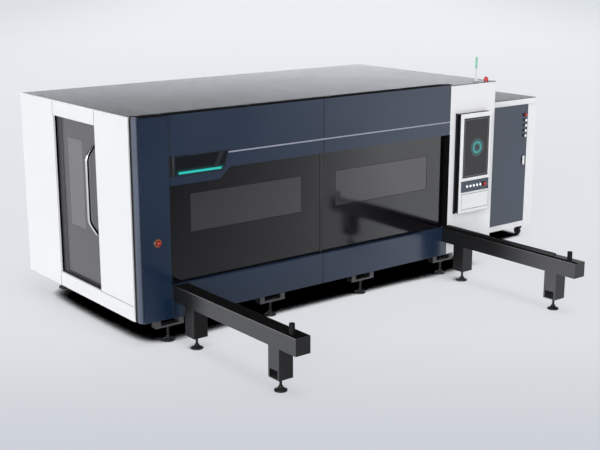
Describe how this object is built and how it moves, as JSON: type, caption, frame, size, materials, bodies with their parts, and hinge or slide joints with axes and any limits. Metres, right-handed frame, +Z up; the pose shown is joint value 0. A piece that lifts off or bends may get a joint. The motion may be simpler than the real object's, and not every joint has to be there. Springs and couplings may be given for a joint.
{
  "type": "fiber laser cutting machine",
  "caption": "Enclosed sheet-metal laser cutting machine with a pull-out slat table on outfeed rails, lifting front door, console column and a separate laser cabinet.",
  "frame": {"origin": "on the floor, under the middle of the box round the whole machine with rails and cabinet", "axes": "+X along the machine's front from its left end to the laser cabinet, +Y from the front to the back, +Z up"},
  "size_m": [6.067, 4.13, 2.382],
  "materials": {
    "navy_paint": "dark blue powder coat, semi-gloss",
    "strip_paint": "light blue powder coat on the corner strip, semi-gloss",
    "white_paint": "white powder coat, fine texture",
    "roof_paint": "grey powder coat, satin",
    "dark_paint": "black powder coat on frame and rails, satin",
    "door_paint": "dark grey gloss panel of the lift door",
    "end_door_paint": "grey panel of the sliding door",
    "tinted_glass": "dark laser safety glass",
    "ground_steel": "ground steel of guides, wheels and nozzle",
    "slat_steel": "laser-cut steel slats",
    "zinc_steel": "zinc-plated steel pole of the beacon",
    "cast_beam": "extruded aluminium gantry beam",
    "head_shell": "anodised cutting head",
    "black_plastic": "black housing, fine texture",
    "white_plastic": "white console frame and tray",
    "screen_glass": "dark display glass",
    "stop_red": "red emergency stop cap",
    "lamp_green": "green lamp lens",
    "lamp_red": "red lamp lens",
    "handle_white": "white handle, gloss",
    "castor_rubber": "dark grey castor tread"
  },
  "bodies": {
    "machine": {"bed_frame": "dark_paint", "levelling_feet": "dark_paint", "runway_beams": "dark_paint", "linear_guides": "ground_steel", "scrap_tray": "dark_paint", "left_front_panel": "white_paint", "left_rear_panel": "white_paint", "left_door_surround": "white_paint", "corner_strip": "strip_paint", "front_pillar": "navy_paint", "upper_band_left": "navy_paint", "upper_band_right": "navy_paint", "lower_fascia": "navy_paint", "roof_panels": "roof_paint", "rear_panels": "white_paint", "right_end_panel": "white_paint", "console_column": "white_paint", "console_housing": "black_plastic", "console_bezel": "white_plastic", "console_screen": "screen_glass", "console_button_plate": "navy_paint", "beacon_pole": "zinc_steel", "beacon_lamp": "lamp_green", "alarm_lamp": "lamp_red", "outfeed_rail_left": "dark_paint", "outfeed_rail_right": "dark_paint", "rail_stops": "dark_paint", "cabinet_shell": "white_paint", "cabinet_top": "white_paint", "laser_source": "dark_paint", "cable_duct": "white_paint"},
    "table": {"table_frame": "dark_paint", "table_slats": "slat_steel"},
    "table_wheels_front": {"table_wheels_front": "ground_steel"},
    "table_wheels_rear": {"table_wheels_rear": "ground_steel"},
    "lift_door": {"lift_door_panels": "door_paint", "lift_door_windows": "tinted_glass"},
    "side_door": {"side_door_leaf": "end_door_paint", "side_door_window": "tinted_glass", "side_door_handle": "handle_white"},
    "gantry": {"gantry_beam": "cast_beam"},
    "carriage": {"head_carriage": "dark_paint"},
    "head": {"cutting_head": "head_shell"},
    "keyboard_tray": {"keyboard_tray": "white_plastic"},
    "console_stop": {"console_stop": "stop_red"},
    "pillar_stop": {"pillar_stop": "stop_red"},
    "cabinet_door": {"cabinet_door": "navy_paint"},
    "cabinet_lever": {"cabinet_lever": "handle_white"},
    "cabinet_stop": {"cabinet_stop": "stop_red"},
    "console_button_1": {"console_button_1": "white_plastic"},
    "console_button_2": {"console_button_2": "white_plastic"},
    "console_button_3": {"console_button_3": "white_plastic"},
    "console_button_4": {"console_button_4": "white_plastic"},
    "console_button_5": {"console_button_5": "white_plastic"},
    "castor_fork_left": {"castor_fork_left": "dark_paint"},
    "castor_wheel_front_left": {"castor_wheel_front_left": "castor_rubber"},
    "castor_wheel_rear_left": {"castor_wheel_rear_left": "castor_rubber"},
    "castor_fork_right": {"castor_fork_right": "dark_paint"},
    "castor_wheel_front_right": {"castor_wheel_front_right": "castor_rubber"},
    "castor_wheel_rear_right": {"castor_wheel_rear_right": "castor_rubber"}
  },
  "joints": [
    {"name": "table_slide", "type": "slide", "parent": "machine", "child": "table", "axis": [0, -1, 0], "range_m": [0, 2.08]},
    {"name": "table_wheels_front_turn", "type": "hinge", "parent": "table", "child": "table_wheels_front", "pos_m": [-0.8785, 0.315, 0.576], "axis": [1, 0, 0], "continuous": true},
    {"name": "table_wheels_rear_turn", "type": "hinge", "parent": "table", "child": "table_wheels_rear", "pos_m": [-0.8785, 1.675, 0.576], "axis": [1, 0, 0], "continuous": true},
    {"name": "door_lift", "type": "slide", "parent": "machine", "child": "lift_door", "axis": [0, 0, 1], "range_m": [0, 0.49]},
    {"name": "side_door_slide", "type": "slide", "parent": "machine", "child": "side_door", "axis": [0, 1, 0], "range_m": [0, 0.62]},
    {"name": "gantry_x", "type": "slide", "parent": "machine", "child": "gantry", "axis": [1, 0, 0], "range_m": [0, 3]},
    {"name": "head_y", "type": "slide", "parent": "gantry", "child": "carriage", "axis": [0, 1, 0], "range_m": [0, 1.5]},
    {"name": "head_z", "type": "slide", "parent": "carriage", "child": "head", "axis": [0, 0, -1], "range_m": [0, 0.1]},
    {"name": "tray_hinge", "type": "hinge", "parent": "machine", "child": "keyboard_tray", "pos_m": [1.2465, -0.323, 0.735], "axis": [1, 0, 0], "range_deg": [0, 90]},
    {"name": "console_button_1_press", "type": "slide", "parent": "machine", "child": "console_button_1", "axis": [0, 1, 0], "range_m": [0, 0.003], "stiffness_N_per_m": 400},
    {"name": "console_button_2_press", "type": "slide", "parent": "machine", "child": "console_button_2", "axis": [0, 1, 0], "range_m": [0, 0.003], "stiffness_N_per_m": 400},
    {"name": "console_button_3_press", "type": "slide", "parent": "machine", "child": "console_button_3", "axis": [0, 1, 0], "range_m": [0, 0.003], "stiffness_N_per_m": 400},
    {"name": "console_button_4_press", "type": "slide", "parent": "machine", "child": "console_button_4", "axis": [0, 1, 0], "range_m": [0, 0.003], "stiffness_N_per_m": 400},
    {"name": "console_button_5_press", "type": "slide", "parent": "machine", "child": "console_button_5", "axis": [0, 1, 0], "range_m": [0, 0.003], "stiffness_N_per_m": 400},
    {"name": "console_stop_press", "type": "slide", "parent": "machine", "child": "console_stop", "axis": [0, 1, 0], "range_m": [0, 0.005], "stiffness_N_per_m": 800},
    {"name": "pillar_stop_press", "type": "slide", "parent": "machine", "child": "pillar_stop", "axis": [0, 1, 0], "range_m": [0, 0.005], "stiffness_N_per_m": 800},
    {"name": "cabinet_door_hinge", "type": "hinge", "parent": "machine", "child": "cabinet_door", "pos_m": [2.212, 0.355, 0.95], "axis": [0, 0, -1], "range_deg": [0, 110]},
    {"name": "cabinet_lever_turn", "type": "hinge", "parent": "cabinet_door", "child": "cabinet_lever", "pos_m": [2.8175, 0.341, 1.035], "axis": [0, 1, 0], "range_deg": [0, 90]},
    {"name": "cabinet_stop_press", "type": "slide", "parent": "cabinet_door", "child": "cabinet_stop", "axis": [0, 1, 0], "range_m": [0, 0.005], "stiffness_N_per_m": 800},
    {"name": "castor_swivel_left", "type": "hinge", "parent": "machine", "child": "castor_fork_left", "pos_m": [2.1615, 0.445, 0.143], "axis": [0, 0, 1], "continuous": true},
    {"name": "castor_front_left_turn", "type": "hinge", "parent": "castor_fork_left", "child": "castor_wheel_front_left", "pos_m": [2.1615, 0.479, 0.05], "axis": [1, 0, 0], "continuous": true},
    {"name": "castor_rear_left_turn", "type": "hinge", "parent": "machine", "child": "castor_wheel_rear_left", "pos_m": [2.1615, 1.099, 0.05], "axis": [1, 0, 0], "continuous": true},
    {"name": "castor_swivel_right", "type": "hinge", "parent": "machine", "child": "castor_fork_right", "pos_m": [2.9295, 0.445, 0.143], "axis": [0, 0, 1], "continuous": true},
    {"name": "castor_front_right_turn", "type": "hinge", "parent": "castor_fork_right", "child": "castor_wheel_front_right", "pos_m": [2.9295, 0.479, 0.05], "axis": [1, 0, 0], "continuous": true},
    {"name": "castor_rear_right_turn", "type": "hinge", "parent": "machine", "child": "castor_wheel_rear_right", "pos_m": [2.9295, 1.099, 0.05], "axis": [1, 0, 0], "continuous": true}
  ],
  "couplings": [
    {"joint": "door_lift", "follows": "table_slide", "ratio": 0.2355}
  ]
}
